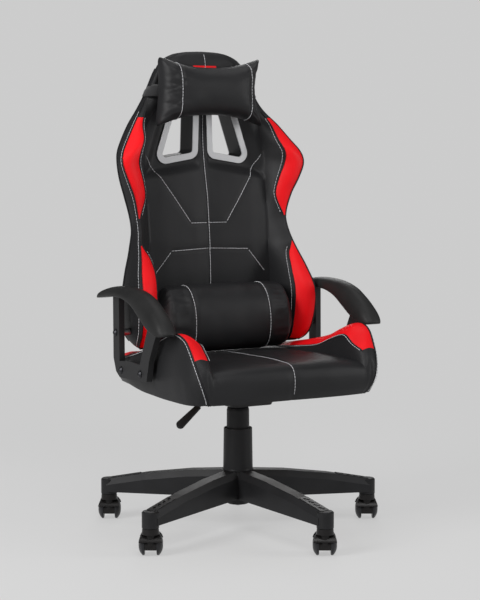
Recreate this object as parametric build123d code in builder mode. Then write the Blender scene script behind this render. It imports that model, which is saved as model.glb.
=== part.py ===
from build123d import *
import math
import os

# Gaming chair. Origin on the floor under the column axis, +Z up, front of the chair towards -Y.
# The chair stands at its lowest height. All sizes in millimetres.

# ---- driving dimensions ----
STEM_CIRCLE = 333          # radius of the circle of caster stems
LEG_COUNT = 5
FIRST_LEG = 61.5           # direction of one leg, degrees from +X
HUB_TOP = 146
HUB_R = 37
BOSS_R = 19.5
BOSS_BOTTOM = 66
WHEEL_R = 25
CASTER_W = 54.5            # over both wheels
WHEEL_GAP = 27             # between the two wheels
CASTER_TURN = -28.5        # all casters trail the same way
TRAIL = 14                 # stem axis to axle
STEM_R = 5.5
TUBE_R = 25                # gas lift outer tube
CYL_R = 14                 # gas lift inner cylinder
CYL_TOP = 330
ROD_R = 4
PLATE_BOTTOM = 308
BOARD_BOTTOM = 346
BOARD_T = 12
SEAT_HALF = 168            # half width of the seat's centre cushion
ARM_IN = 261               # inner face of an arm frame
ARM_OUT = 275              # outer face of an arm frame
PAD_IN = 246
PAD_OUT = 311
BOLT_R = 4
SLACK = 0.3                # gap between pieces that move past each other
COVER_T = 2.5              # rear cover of the back

# Places of the arm bolts, (y, z): two into the seat side, one into the back.
SEAT_BOLTS = ((66, 395), (-38, 398))
BACK_BOLT = (96, 480)
BACK_END = 216             # where the back bolts meet the back frame

# Horizontal sections of the back, one row for each height: half widths (x) with their depths (y).
# z, centre y, panel seam, wing inner seam, wing front edge, side rear edge, rear shoulder, rear centre y
BACK_ROWS = (
    (446, 130, (160, 128), (186, 74), (226, 80), (236, 126), (170, 194), 200),
    (489, 137, (163, 134), (186, 58), (230, 43), (242, 132), (170, 205), 212),
    (568, 143, (165, 140), (187, 50), (233, 34), (241, 129), (170, 209), 218),
    (619, 144, (165, 141), (185, 68), (224, 59), (231, 134), (168, 209), 220),
    (683, 147, (163, 144), (183, 118), (207, 99), (215, 139), (165, 209), 222),
    (732, 152, (162, 149), (181, 137), (200, 123), (205, 156), (160, 211), 225),
    (797, 160, (163, 157), (179, 131), (215, 119), (226, 150), (165, 213), 230),
    (876, 177, (164, 170), (199, 126), (246, 114), (248, 138), (180, 216), 240),
    (920, 184, (160, 174), (192, 140), (227, 136), (230, 160), (175, 223), 244),
    (968, 186, (150, 176), (179, 158), (194, 160), (197, 183), (150, 229), 245),
    (1000, 184, (130, 178), (158, 179), (167, 181), (168, 198), (130, 229), 242),
    (1030, 180, (110, 178), (143, 184), (150, 188), (151, 201), (120, 227), 236),
    (1098, 171, (75, 174), (105, 181), (118, 187), (119, 201), (95, 222), 228),
    (1128, 175, (55, 178), (80, 184), (92, 189), (93, 199), (75, 215), 219),
    (1142, 184, (18, 185), (32, 188), (44, 191), (45, 198), (34, 206), 208),
)
WING_TOP_ROW = 9           # the wings end at this row

# Outline of one harness opening (x, z), and the width of the bezel around it.
SLOT = ((28, 899), (113, 885), (77, 994), (25, 998))
BEZEL_W = 15
BEZEL_PROUD = 4
BEZEL_SEAT = 185           # depth of the front bezels' back faces

# Stations of a seat bolster: y, outer bottom, outer side, outer top, inner top, each (x, z)
BOLSTER_ROWS = (
    (196, (226, 368), (236, 392), (232, 412), (174, 414)),
    (110, (236, 356), (247, 386), (243, 417), (174, 419)),
    (30, (240, 348), (250, 392), (246, 440), (178, 428)),
    (-25, (242, 347), (251, 404), (246, 464), (182, 434)),
    (-80, (243, 347), (251, 414), (245, 485), (186, 449)),
    (-130, (243, 347), (251, 420), (243, 497), (190, 465)),
    (-165, (242, 347), (250, 418), (241, 494), (191, 467)),
    (-192, (238, 347), (248, 406), (238, 470), (190, 456)),
    (-212, (230, 347), (240, 392), (232, 438), (190, 448)),
    (-238, (208, 348), (216, 380), (210, 418), (186, 438)),
    (-254, (192, 350), (197, 375), (194, 405), (180, 428)),
)

os.makedirs("parts", exist_ok=True)


def save(piece, label):
    """Name a finished piece and write it."""
    piece.part.label = label
    export_step(piece.part, f"parts/{label}.step")


def turned(outline):
    """A solid of revolution about Z from an outline of (radius, height)."""
    with BuildPart() as piece:
        with BuildSketch(Plane.XZ):
            with BuildLine():
                Polyline(*outline, close=True)
            make_face()
        revolve(axis=Axis.Z)
    return piece


def polygon_face(points, mode=Mode.ADD):
    """A filled polygon in the sketch that is open, at the places its points say."""
    Polygon(*points, align=None, mode=mode)


def leg_top(r):
    """Height of a leg's top ridge at radius r."""
    reach = max(r - HUB_R, 0)
    return HUB_TOP - 0.060 * reach - 0.00028 * reach ** 2


def leg_section(r, shrink, top_drop, floor):
    """Section of a leg at radius r, as (across, height): flat top, bevelled flanks, upright sides."""
    half = 24 - 3.5 * r / STEM_CIRCLE - shrink
    ridge = 15.5 - 2.5 * r / STEM_CIRCLE - shrink
    top = leg_top(r) - top_drop
    crease = top - 15 + shrink
    return ((-half, floor), (-half, crease), (-ridge, top), (ridge, top), (half, crease), (half, floor))


def leg_floor(r):
    """Height of a leg's lower edge at radius r."""
    return 80 - 8 * (r - HUB_R) / (STEM_CIRCLE - HUB_R)


INSERT_MID = 292
INSERT_L = 84
INSERT_W = 25
INSERT_TILT = math.degrees(math.atan2(leg_top(334) - leg_top(250), 84))


def insert_plane(lift):
    """The plane of a leg's top at the middle of its grip insert, raised by lift."""
    tilt = math.radians(INSERT_TILT)
    return Plane(
        origin=(INSERT_MID, 0, leg_top(INSERT_MID) + lift),
        x_dir=(math.cos(tilt), 0, math.sin(tilt)),
        z_dir=(-math.sin(tilt), 0, math.cos(tilt)),
    )


def star_base():
    wall = 4.5
    with BuildPart() as leg:
        for r in (30, 120, 230, STEM_CIRCLE):
            with BuildSketch(Plane.YZ.offset(r)):
                polygon_face(leg_section(r, 0, 0, leg_floor(r)))
        loft(ruled=True)
        with BuildSketch(Plane.XY.offset(BOSS_BOTTOM)):
            with Locations((STEM_CIRCLE, 0)):
                Circle(BOSS_R)
        extrude(amount=leg_top(STEM_CIRCLE) - BOSS_BOTTOM)
        rim = leg.edges().filter_by(GeomType.CIRCLE).group_by(Axis.Z)[-1]
        chamfer(rim, 3)
        for r in (60, 180, 305):
            with BuildSketch(Plane.YZ.offset(r)):
                polygon_face(leg_section(r, wall, 7, 60))
        loft(ruled=True, mode=Mode.SUBTRACT)
        for r in (100, 145, 190, 235, 280):
            with BuildSketch(Plane.YZ.offset(r)):
                polygon_face(leg_section(r, wall - 1, 5, leg_floor(r) + 3))
            extrude(amount=3)
        with BuildSketch(insert_plane(-1.2)):
            RectangleRounded(INSERT_L + 0.4, INSERT_W + 0.4, 5)
        extrude(amount=6, mode=Mode.SUBTRACT)
        with BuildSketch(Plane.XY.offset(BOSS_BOTTOM - 1)):
            with Locations((STEM_CIRCLE, 0)):
                Circle(STEM_R + SLACK)
        extrude(amount=36, mode=Mode.SUBTRACT)
    with BuildPart() as base:
        with PolarLocations(0, LEG_COUNT, start_angle=FIRST_LEG):
            add(leg.part)
        with BuildSketch(Plane.XZ):
            polygon_face(((0, 79), (33, 79), (HUB_R, 100), (HUB_R, 140), (HUB_R - 4, HUB_TOP), (0, HUB_TOP)))
        revolve(axis=Axis.Z)
        with BuildSketch(Plane.XY.offset(60)):
            Circle(TUBE_R)
        extrude(amount=100, mode=Mode.SUBTRACT)
    save(base, "star_base")


def leg_grip_inserts():
    with BuildPart() as insert:
        with BuildSketch(insert_plane(-1.2)):
            RectangleRounded(INSERT_L, INSERT_W, 5)
            for place in (-27, -9, 9, 27):
                with Locations(Location((place, 0), 32)):
                    SlotOverall(17, 6, mode=Mode.SUBTRACT)
        extrude(amount=1.9)
    with BuildPart() as inserts:
        with PolarLocations(0, LEG_COUNT, start_angle=FIRST_LEG):
            add(insert.part)
    save(inserts, "leg_grip_inserts")


def gas_lift():
    bottom = 64
    tube = turned((
        (5, bottom), (TUBE_R, bottom), (TUBE_R, 288), (22.5, 288), (22.5, bottom + 4), (5, bottom + 4),
    ))
    save(tube, "lift_outer_tube")
    bush = turned(((CYL_R + SLACK, 205), (22.5, 205), (22.5, 285), (CYL_R + SLACK, 285)))
    save(bush, "lift_guide_bush")
    bearing = turned(((5, 68), (13, 68), (13, 73), (5, 73)))
    save(bearing, "lift_thrust_bearing")
    buffer = turned(((5.5, 73), (12, 73), (11, 84), (5.5, 84)))
    save(buffer, "lift_rubber_buffer")
    rod = turned(((0, 58), (ROD_R, 58), (ROD_R, 245), (12.6, 245), (12.6, 257), (0, 257)))
    save(rod, "lift_piston_rod")
    clip = turned(((ROD_R, 60), (8, 60), (8, 62), (ROD_R, 62)))
    save(clip, "lift_rod_clip")
    cylinder = turned((
        (ROD_R + SLACK, 118), (CYL_R, 118), (CYL_R, CYL_TOP), (ROD_R + 0.4, CYL_TOP), (ROD_R + 0.4, 312),
        (2, 312), (2, 300), (12.9, 300), (12.9, 138), (ROD_R + SLACK, 138),
    ))
    save(cylinder, "lift_inner_cylinder")
    pin = turned(((0, 318), (ROD_R, 318), (ROD_R, 335), (ROD_R - 1, 336), (0, 336)))
    save(pin, "lift_valve_pin")


def column_covers():
    lower = turned((
        (TUBE_R + 0.5, HUB_TOP), (36, HUB_TOP), (36, HUB_TOP + 2), (35.4, HUB_TOP + 4), (34, 245), (33.4, 247),
        (31.6, 247), (33, HUB_TOP + 3), (TUBE_R + 0.5, HUB_TOP + 3),
    ))
    save(lower, "cover_lower")
    middle = turned(((29.6, 152), (31, 152), (30.6, 243), (28.6, 243), (28.6, 241), (29.2, 241)))
    save(middle, "cover_middle")
    upper = turned((
        (25.9, 151), (27.6, 151), (26.8, 290), (25.4, 295), (23, 297),
        (CYL_R + 0.1, 297), (CYL_R + 0.1, 295), (22.6, 295), (25.6, 288),
    ))
    save(upper, "cover_upper")


def caster_place(index):
    """Where a caster's stem axis stands, turned so that its wheels trail the common way."""
    turn = math.radians(FIRST_LEG + index * 360 / LEG_COUNT)
    return Location((STEM_CIRCLE * math.cos(turn), STEM_CIRCLE * math.sin(turn), 0), (0, 0, CASTER_TURN))


# Half of a caster hood's outline seen from the front: (x, z)
HOOD_OUTLINE = (
    (27, 0), (27.4, 30), (26.6, 35), (24.8, 41), (22.4, 46), (20.2, 50), (19, 54), (19, 70),
)


def caster_hood_form():
    inner = WHEEL_GAP / 2 - 0.4
    guard_in, guard_out = WHEEL_R + 1.2, WHEEL_R + 3.4
    axle_plane = Plane(origin=(0, TRAIL, WHEEL_R), x_dir=(0, 1, 0), z_dir=(1, 0, 0))
    with BuildPart() as hood:
        with BuildSketch(axle_plane):
            Circle(WHEEL_R - 2)
            with Locations((0, -WHEEL_R - 10)):
                Rectangle(4 * WHEEL_R, 2 * WHEEL_R, mode=Mode.SUBTRACT)
        extrude(amount=inner, both=True)
        with BuildSketch(axle_plane):
            Circle(guard_out)
            Circle(guard_in, mode=Mode.SUBTRACT)
            with Locations((0, -guard_out + 9)):
                Rectangle(3 * guard_out, 2 * guard_out, mode=Mode.SUBTRACT)
        extrude(amount=CASTER_W / 2 - 1, both=True)
        with BuildSketch(axle_plane):
            Circle(guard_out)
            with Locations((0, -guard_out + 9)):
                Rectangle(3 * guard_out, 2 * guard_out, mode=Mode.SUBTRACT)
        extrude(amount=inner, both=True)
        with BuildSketch(Plane.XY.offset(WHEEL_R)):
            Circle(STEM_R + 5)
        extrude(amount=BOSS_BOTTOM - 1.2 - WHEEL_R)
        with BuildSketch(Plane.XY.offset(51.2)):
            with Locations((0, 3)):
                Ellipse(20.5, 22)
        with BuildSketch(Plane.XY.offset(BOSS_BOTTOM - 1.2)):
            Circle(18.5)
        loft()
        with BuildSketch(Plane.XZ):
            polygon_face([
                (side * x, z) for side, row in ((1, HOOD_OUTLINE), (-1, HOOD_OUTLINE[::-1])) for x, z in row
            ])
        extrude(amount=60, both=True, mode=Mode.INTERSECT)
        with BuildSketch(Plane.XY.offset(40)):
            Circle(STEM_R)
        extrude(amount=40, mode=Mode.SUBTRACT)
        with BuildSketch(axle_plane):
            Circle(4)
        extrude(amount=40, both=True, mode=Mode.SUBTRACT)
    return hood


def caster_wheel_form():
    inner, outer = WHEEL_GAP / 2, CASTER_W / 2
    with BuildPart() as wheel:
        with BuildSketch(Plane.XY):
            with BuildLine():
                Polyline((outer, 7), (outer, 0), (outer - 5, 0), (outer - 5, 4.2), (inner, 4.2), (inner, 23.5))
                Polyline((inner, 23.5), (inner + 1.5, WHEEL_R), (outer - 9, WHEEL_R))
                ThreePointArc((outer - 9, WHEEL_R), (outer - 2.4, 16), (outer, 7))
            make_face()
        revolve(axis=Axis.X)
    with BuildPart() as pair:
        with Locations((0, TRAIL, WHEEL_R)):
            add(wheel.part)
        mirror(about=Plane.YZ)
    return pair


def casters():
    hood_form = caster_hood_form()
    wheel_form = caster_wheel_form()
    stem_form = turned((
        (0, 40), (STEM_R, 40), (STEM_R, 88), (STEM_R - 1, 89), (STEM_R - 1, 93), (STEM_R, 94),
        (STEM_R - 1.5, 98), (0, 98),
    ))
    with BuildPart() as axle_form:
        with BuildSketch(Plane(origin=(0, TRAIL, WHEEL_R), x_dir=(0, 1, 0), z_dir=(1, 0, 0))):
            Circle(3.95)
        extrude(amount=CASTER_W / 2 - 5.6, both=True)
    forms = {"hood": (hood_form,), "stem_axle": (stem_form, axle_form), "wheels": (wheel_form,)}
    for index in range(LEG_COUNT):
        for name, pieces in forms.items():
            with BuildPart() as piece:
                with Locations(caster_place(index)):
                    for form in pieces:
                        add(form.part)
            save(piece, f"caster_{name}_{index + 1}")


PLATE_BOLTS = ((-85, -75), (85, -75), (-85, 75), (85, 75))


def seat_plate():
    wall = 3
    with BuildPart() as plate:
        with BuildSketch(Plane.XY.offset(PLATE_BOTTOM)):
            RectangleRounded(110, 150, 14)
        with BuildSketch(Plane.XY.offset(BOARD_BOTTOM)):
            RectangleRounded(140, 180, 18)
        loft()
        with BuildSketch(Plane.XY.offset(PLATE_BOTTOM + wall)):
            RectangleRounded(110 - 2 * wall, 150 - 2 * wall, 11)
        with BuildSketch(Plane.XY.offset(BOARD_BOTTOM)):
            RectangleRounded(140 - 2 * wall, 180 - 2 * wall, 15)
        loft(mode=Mode.SUBTRACT)
        with BuildSketch(Plane.XY.offset(BOARD_BOTTOM - wall)):
            RectangleRounded(206, 196, 12)
            RectangleRounded(134, 174, 14, mode=Mode.SUBTRACT)
            with Locations(*PLATE_BOLTS):
                Circle(BOLT_R + 0.3, mode=Mode.SUBTRACT)
        extrude(amount=wall)
        with BuildSketch(Plane.XY.offset(PLATE_BOTTOM)):
            Circle(20)
        extrude(amount=21)
        with BuildSketch(Plane.XY.offset(PLATE_BOTTOM - 1)):
            Circle(CYL_R)
        extrude(amount=30, mode=Mode.SUBTRACT)
        with BuildSketch(Plane(origin=(-50, 8, 330), x_dir=(0, 1, 0), z_dir=(-1, 0, 0))):
            Rectangle(18, 23)
        extrude(amount=25, mode=Mode.SUBTRACT)
    save(plate, "seat_plate")
    with BuildPart() as bolts:
        with BuildSketch(Plane.XY.offset(BOARD_BOTTOM - wall)):
            with Locations(*PLATE_BOLTS):
                Circle(BOLT_R)
        extrude(amount=wall + BOARD_T)
        with BuildSketch(Plane.XY.offset(BOARD_BOTTOM - wall)):
            with Locations(*PLATE_BOLTS):
                RegularPolygon(7, 6)
        extrude(amount=-5)
    save(bolts, "seat_plate_bolts")
    with BuildPart() as nuts:
        with BuildSketch(Plane.XY.offset(BOARD_BOTTOM)):
            with Locations(*PLATE_BOLTS):
                Circle(BOLT_R + 1.5)
                Circle(BOLT_R, mode=Mode.SUBTRACT)
        extrude(amount=BOARD_T)
    save(nuts, "seat_board_nuts")


def lever():
    path_points = (
        (6, 0, 340.3), (-22, 0, 340.3), (-62, 8, 330), (-100, -18, 320), (-147, -31, 289),
    )
    with BuildPart() as rod:
        with BuildLine() as path:
            FilletPolyline(*path_points, radius=9)
        with BuildSketch(Plane(origin=path.line @ 0, z_dir=path.line % 0)):
            Circle(ROD_R)
        sweep()
    save(rod, "lever_rod")
    handle_plane = Plane(
        origin=(-148.5, -31, 288), x_dir=(-0.782, -0.030, -0.622), z_dir=(-0.419, -0.714, 0.561)
    )
    with BuildPart() as handle:
        with BuildSketch(handle_plane.offset(-4.6)):
            with BuildLine():
                Polyline((-36, -6.5), (-36, 6.5), (-6, 8), (24, 9.5))
                ThreePointArc((24, 9.5), (36, 0), (24, -9.5))
                Polyline((24, -9.5), (-6, -8), (-36, -6.5))
            make_face()
        extrude(amount=9.2)
        broad = handle.faces().sort_by(SortBy.AREA)[-2:]
        chamfer(broad.edges(), 2)
        add(rod.part, mode=Mode.SUBTRACT)
    save(handle, "lever_handle")


RAIL_X = 233
RAIL_T = 3


def seat_base():
    top = BOARD_BOTTOM + BOARD_T
    with BuildPart() as board:
        with BuildSketch(Plane.XY.offset(BOARD_BOTTOM)):
            with Locations((0, -22)):
                RectangleRounded(412, 424, 40)
            with Locations(*PLATE_BOLTS):
                Circle(BOLT_R + 1.5, mode=Mode.SUBTRACT)
        extrude(amount=BOARD_T)
    save(board, "seat_board")
    for side, name in ((1, "left"), (-1, "right")):
        with BuildPart() as rail:
            with BuildSketch(Plane.XZ.offset(60)):
                polygon_face([
                    (side * x, z) for x, z in (
                        (190, top), (RAIL_X, top), (RAIL_X, 412), (RAIL_X - RAIL_T, 412),
                        (RAIL_X - RAIL_T, top + RAIL_T), (190, top + RAIL_T),
                    )
                ])
            extrude(amount=-150)
            for y, z in SEAT_BOLTS:
                with BuildSketch(Plane.YZ.offset(side * RAIL_X)):
                    with Locations((y, z)):
                        Circle(BOLT_R)
                extrude(amount=5, both=True, mode=Mode.SUBTRACT)
        save(rail, f"seat_side_rail_{name}")


def seat_cushion():
    top = BOARD_BOTTOM + BOARD_T + 0.1
    with BuildPart() as cushion:
        with BuildSketch(Plane.YZ):
            with BuildLine():
                Polyline((-236, top), (190, top), (196, top + 20), (196, 406), (186, 418), (110, 421), (16, 426))
                Spline((16, 426), (-74, 430), (-177, 432), (-238, 429))
                ThreePointArc((-238, 429), (-259, 419), (-267, 396))
                Polyline((-267, 396), (-267, 374), (-257, 347), (-236, 347), (-236, top))
            make_face()
        extrude(amount=SEAT_HALF, both=True)
    save(cushion, "seat_cushion")


def seat_bolster(side, name):
    bottom = BOARD_BOTTOM + BOARD_T + 0.1
    inner = SEAT_HALF + 0.2
    with BuildPart() as bolster:
        for y, low, mid, high, seam in BOLSTER_ROWS:
            section = ((inner, bottom - 5), low, mid, high, seam, (inner, seam[1] - 6))
            with BuildSketch(Plane.XZ.offset(-y)):
                polygon_face([(side * x, z) for x, z in section])
        loft(ruled=True)
        with BuildSketch(Plane.XY.offset(BOARD_BOTTOM - 6)):
            with Locations((0, -22)):
                RectangleRounded(412.4, 424.4, 40)
        extrude(amount=BOARD_T + 6.2, mode=Mode.SUBTRACT)
        with BuildSketch(Plane.XZ.offset(60.2)):
            polygon_face([
                (side * x, z) for x, z in (
                    (160, bottom - 2), (RAIL_X, bottom - 2), (RAIL_X, 412), (RAIL_X - 12, 412),
                    (RAIL_X - 12, bottom + 3), (160, bottom + 3),
                )
            ])
        extrude(amount=-150.4, mode=Mode.SUBTRACT)
        for y, z in SEAT_BOLTS:
            with BuildSketch(Plane.YZ.offset(side * (RAIL_X - 1))):
                with Locations((y, z)):
                    Circle(8.2)
            extrude(amount=side * 40, mode=Mode.SUBTRACT)
    save(bolster, f"seat_bolster_{name}")


def back_section(row, first, last, side):
    """Part of a back section: the points numbered first to last, for one side of the chair."""
    z, centre, panel, seam, edge, rear_edge, shoulder, rear = row
    points = ((0, centre), panel, seam, edge, rear_edge, shoulder, (0, rear))
    return [(side * x, y) for x, y in points[first:last + 1]]


def harness_block(grow, front, rear):
    """Both harness openings as solids, grown by an offset, between two depths."""
    with BuildPart() as block:
        for side in (1, -1):
            with BuildSketch(Plane.XZ.offset(-front)):
                polygon_face([(side * x, z) for x, z in SLOT])
                fillet(vertices(), 9)
                if grow:
                    offset(amount=grow)
            extrude(amount=front - rear)
    return block.part


def back_frame():
    loop = (
        (176, 165, 466), (206, 100, 474), (206, 100, 560), (164, 180, 690), (160, 198, 925),
        (122, 207, 1040), (84, 203, 1102),
    )
    mirrored = [(-x, y, z) for x, y, z in loop[::-1]]
    with BuildPart() as frame:
        with BuildLine() as path:
            FilletPolyline(*loop, *mirrored, radius=14, close=True)
        with BuildSketch(Plane(origin=path.line @ 0, z_dir=path.line % 0)):
            Circle(9)
        sweep()
        for z, half, depth in ((700, 164, 181), (860, 161.5, 193)):
            with BuildSketch(Plane.YZ.offset(-half)):
                with Locations((depth, z)):
                    Circle(6)
            extrude(amount=2 * half)
    save(frame, "back_frame")
    return frame


def build_back():
    """Foam of the back: a centre panel, two wings and a head, with the frame's channel cut out."""
    frame = back_frame()
    openings = harness_block(2, 120, 280)
    pockets = harness_block(BEZEL_W + 0.6, 120, BEZEL_SEAT + 0.2)
    low_rows = BACK_ROWS[:WING_TOP_ROW + 1]
    head_rows = BACK_ROWS[WING_TOP_ROW:]
    with BuildPart() as centre:
        for row in low_rows:
            half = back_section(row, 0, 1, 1) + back_section(row, 5, 6, 1)
            with BuildSketch(Plane.XY.offset(row[0])):
                polygon_face(half + [(-x, y) for x, y in half[2:0:-1]])
        loft(ruled=True)
        add(openings, mode=Mode.SUBTRACT)
        add(pockets, mode=Mode.SUBTRACT)
        add(frame.part, mode=Mode.SUBTRACT)
    save(centre, "back_centre_pad")
    with BuildPart() as head:
        for row in head_rows:
            half = back_section(row, 0, 6, 1)
            with BuildSketch(Plane.XY.offset(row[0])):
                polygon_face(half + [(-x, y) for x, y in half[5:0:-1]])
        loft(ruled=True)
        add(openings, mode=Mode.SUBTRACT)
        add(pockets, mode=Mode.SUBTRACT)
        add(frame.part, mode=Mode.SUBTRACT)
    save(head, "back_head_pad")
    for side, name in ((1, "left"), (-1, "right")):
        with BuildPart() as wing:
            for row in low_rows:
                points = back_section(row, 1, 5, side)
                points[0] = (points[0][0] + side * 0.2, points[0][1])
                points[-1] = (points[-1][0] + side * 0.2, points[-1][1])
                with BuildSketch(Plane.XY.offset(row[0])):
                    polygon_face(points)
            loft(ruled=True)
            add(frame.part, mode=Mode.SUBTRACT)
            with BuildSketch(Plane.YZ.offset(side * 200)):
                with Locations(BACK_BOLT):
                    Circle(8.2)
            extrude(amount=side * 60, mode=Mode.SUBTRACT)
        save(wing, f"back_wing_{name}")


def back_rear_cover():
    openings = harness_block(2, 120, 280)
    with BuildPart() as cover:
        for row in BACK_ROWS:
            half = [(x, y + 0.6) for x, y in back_section(row, 4, 6, 1)]
            inner = half + [(-x, y) for x, y in half[1::-1]]
            outer = [(x, y + COVER_T) for x, y in inner[::-1]]
            with BuildSketch(Plane.XY.offset(row[0])):
                polygon_face(inner + outer)
        loft(ruled=True)
        add(openings, mode=Mode.SUBTRACT)
        add(harness_block(BEZEL_W + 0.6, 245.8, 280), mode=Mode.SUBTRACT)
    save(cover, "back_rear_cover")


def opening_ring(inner, outer, front, rear, label):
    """A ring that follows both harness openings, between two offsets and two depths."""
    body = harness_block(outer, front, rear)
    hole = harness_block(inner, front - 1, rear + 1)
    with BuildPart() as ring:
        add(body)
        add(hole, mode=Mode.SUBTRACT)
    save(ring, label)


def harness_trim():
    front, rear = BEZEL_SEAT, 246
    opening_ring(-0.6, 1.8, front, rear, "harness_sleeves")
    opening_ring(0, BEZEL_W, front - BEZEL_PROUD, front, "harness_bezels_front")
    opening_ring(0, BEZEL_W, rear, rear + BEZEL_PROUD, "harness_bezels_rear")


ARM_OUTLINE = (
    (73, 377), (94, 389), (108, 420), (109, 578), (50, 583), (0, 581), (-40, 570), (-80, 549), (-112, 528),
    (-132, 508), (-107, 469), (-86, 432), (-72, 383), (17, 379),
)
ARM_WINDOW = (
    (76, 568), (74, 415), (20, 421), (-37, 419), (-67, 482), (-84, 513), (-60, 534), (-20, 556), (20, 570),
)


def arm(side, name):
    with BuildPart() as frame:
        with BuildSketch(Plane.YZ.offset(side * ARM_IN)):
            polygon_face(ARM_OUTLINE)
            fillet(vertices(), 5)
            polygon_face(ARM_WINDOW, Mode.SUBTRACT)
            for place in (*SEAT_BOLTS, BACK_BOLT):
                with Locations(place):
                    Circle(BOLT_R + 0.2, mode=Mode.SUBTRACT)
        extrude(amount=side * (ARM_OUT - ARM_IN))
    save(frame, f"arm_frame_{name}")
    middle = side * (PAD_IN + PAD_OUT) / 2
    with BuildPart() as pad:
        with BuildSketch(Plane.YZ.offset(middle)):
            with BuildLine():
                Spline(
                    (190, 566), (150, 578), (100, 588), (50, 593), (0, 593), (-60, 586), (-120, 562),
                    (-165, 532), (-188, 508),
                )
                ThreePointArc((-188, 508), (-187, 498), (-174, 496))
                Spline(
                    (-174, 496), (-130, 502), (-100, 513), (-60, 534), (-20, 556), (20, 569), (80, 568),
                    (140, 563), (188, 555),
                )
                ThreePointArc((188, 555), (194, 560), (190, 566))
            make_face()
        extrude(amount=(PAD_OUT - PAD_IN) / 2, both=True)
        add(frame.part, mode=Mode.SUBTRACT)
    save(pad, f"arm_pad_{name}")


def bolt_form(length, head):
    """A button-head bolt with its washer along +X: the washer's face is at x = 0."""
    with BuildPart() as bolt:
        with BuildSketch(Plane.YZ.offset(-length)):
            Circle(BOLT_R)
        extrude(amount=length)
        with BuildSketch(Plane.YZ):
            Circle(head)
        extrude(amount=1.6)
        with BuildSketch(Plane.YZ.offset(1.6)):
            Circle(head - 1.5)
        with BuildSketch(Plane.YZ.offset(5)):
            Circle(head - 5)
        loft()
        with BuildSketch(Plane.YZ.offset(6)):
            RegularPolygon(2.6, 6)
        extrude(amount=-3, mode=Mode.SUBTRACT)
    return bolt.part


def arm_hardware():
    seat_bolt = bolt_form(ARM_OUT - RAIL_X + 9, 9)
    back_bolt = bolt_form(ARM_OUT - BACK_END, 9)
    with BuildPart() as bolts:
        for y, z in SEAT_BOLTS:
            with Locations((ARM_OUT, y, z)):
                add(seat_bolt)
        with Locations((ARM_OUT, *BACK_BOLT)):
            add(back_bolt)
        mirror(about=Plane.YZ)
    save(bolts, "arm_bolts")
    with BuildPart() as spacers:
        for places, inner in ((SEAT_BOLTS, RAIL_X), ((BACK_BOLT,), BACK_END)):
            with BuildSketch(Plane.YZ.offset(inner)):
                with Locations(*places):
                    Circle(8)
                    Circle(BOLT_R, mode=Mode.SUBTRACT)
            extrude(amount=ARM_IN - inner)
        mirror(about=Plane.YZ)
    save(spacers, "arm_spacers")
    with BuildPart() as nuts:
        with BuildSketch(Plane.YZ.offset(RAIL_X - RAIL_T)):
            with Locations(*SEAT_BOLTS):
                RegularPolygon(7.5, 6)
                Circle(BOLT_R, mode=Mode.SUBTRACT)
        extrude(amount=-6)
        mirror(about=Plane.YZ)
    save(nuts, "arm_nuts")


def head_pillow():
    outline = (
        (0, 983), (70, 981), (118, 976), (147, 970), (143, 1046), (147, 1122), (118, 1116), (70, 1109), (0, 1107),
    )
    middle = 1046
    with BuildPart() as pillow:
        for depth, scale_x, scale_z in ((164, 0.84, 0.78), (140, 1, 1), (108, 0.9, 0.84), (92, 0.62, 0.55)):
            half = [(x * scale_x, middle + (z - middle) * scale_z) for x, z in outline]
            with BuildSketch(Plane.XZ.offset(-depth)):
                polygon_face(half + [(-x, z) for x, z in half[-2:0:-1]])
        loft(ruled=True)
    save(pillow, "head_pillow")


def head_strap():
    half = ((0, 166.5), (140, 166.5), (152.5, 186), (153, 204), (121, 231.5), (0, 241.5))
    loop = [*half, *[(-x, y) for x, y in half[-2:0:-1]]]
    with BuildPart() as strap:
        with BuildSketch(Plane.XY.offset(1034)):
            polygon_face(loop)
            offset(amount=1.4, kind=Kind.INTERSECTION)
            polygon_face(loop, Mode.SUBTRACT)
        extrude(amount=28)
    save(strap, "head_strap")


def lumbar_cushion():
    centre_y, centre_z = 76, 508
    with BuildPart() as cushion:
        for x, scale in ((-172, 0.4), (-150, 0.84), (-110, 1), (110, 1), (150, 0.84), (172, 0.4)):
            with BuildSketch(Plane.YZ.offset(x)):
                with Locations((centre_y, centre_z)):
                    Ellipse(58 * scale, 78 * scale)
        loft(ruled=True)
    save(cushion, "lumbar_cushion")


star_base()
leg_grip_inserts()
gas_lift()
column_covers()
casters()
seat_plate()
lever()
seat_base()
seat_cushion()
build_back()
back_rear_cover()
harness_trim()
arm_hardware()
head_pillow()
head_strap()
lumbar_cushion()
for hand, hand_name in ((1, "left"), (-1, "right")):
    seat_bolster(hand, hand_name)
    arm(hand, hand_name)
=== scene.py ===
import math

import bmesh
import bpy
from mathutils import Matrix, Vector, noise


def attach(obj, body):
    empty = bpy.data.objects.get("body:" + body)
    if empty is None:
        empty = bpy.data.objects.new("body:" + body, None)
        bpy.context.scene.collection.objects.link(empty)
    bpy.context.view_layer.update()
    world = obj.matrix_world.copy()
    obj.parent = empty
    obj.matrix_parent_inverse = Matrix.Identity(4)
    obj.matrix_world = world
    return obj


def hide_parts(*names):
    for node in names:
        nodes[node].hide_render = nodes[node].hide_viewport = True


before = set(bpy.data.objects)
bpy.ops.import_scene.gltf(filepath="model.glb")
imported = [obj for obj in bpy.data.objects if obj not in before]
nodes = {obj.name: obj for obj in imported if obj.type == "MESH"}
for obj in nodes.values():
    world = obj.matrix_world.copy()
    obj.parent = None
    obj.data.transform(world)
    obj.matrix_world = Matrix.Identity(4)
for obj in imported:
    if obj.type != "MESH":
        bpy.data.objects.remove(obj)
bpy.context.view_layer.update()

MM = 0.001
CASTERS = range(1, 6)


# ---- curves and meshes

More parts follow.
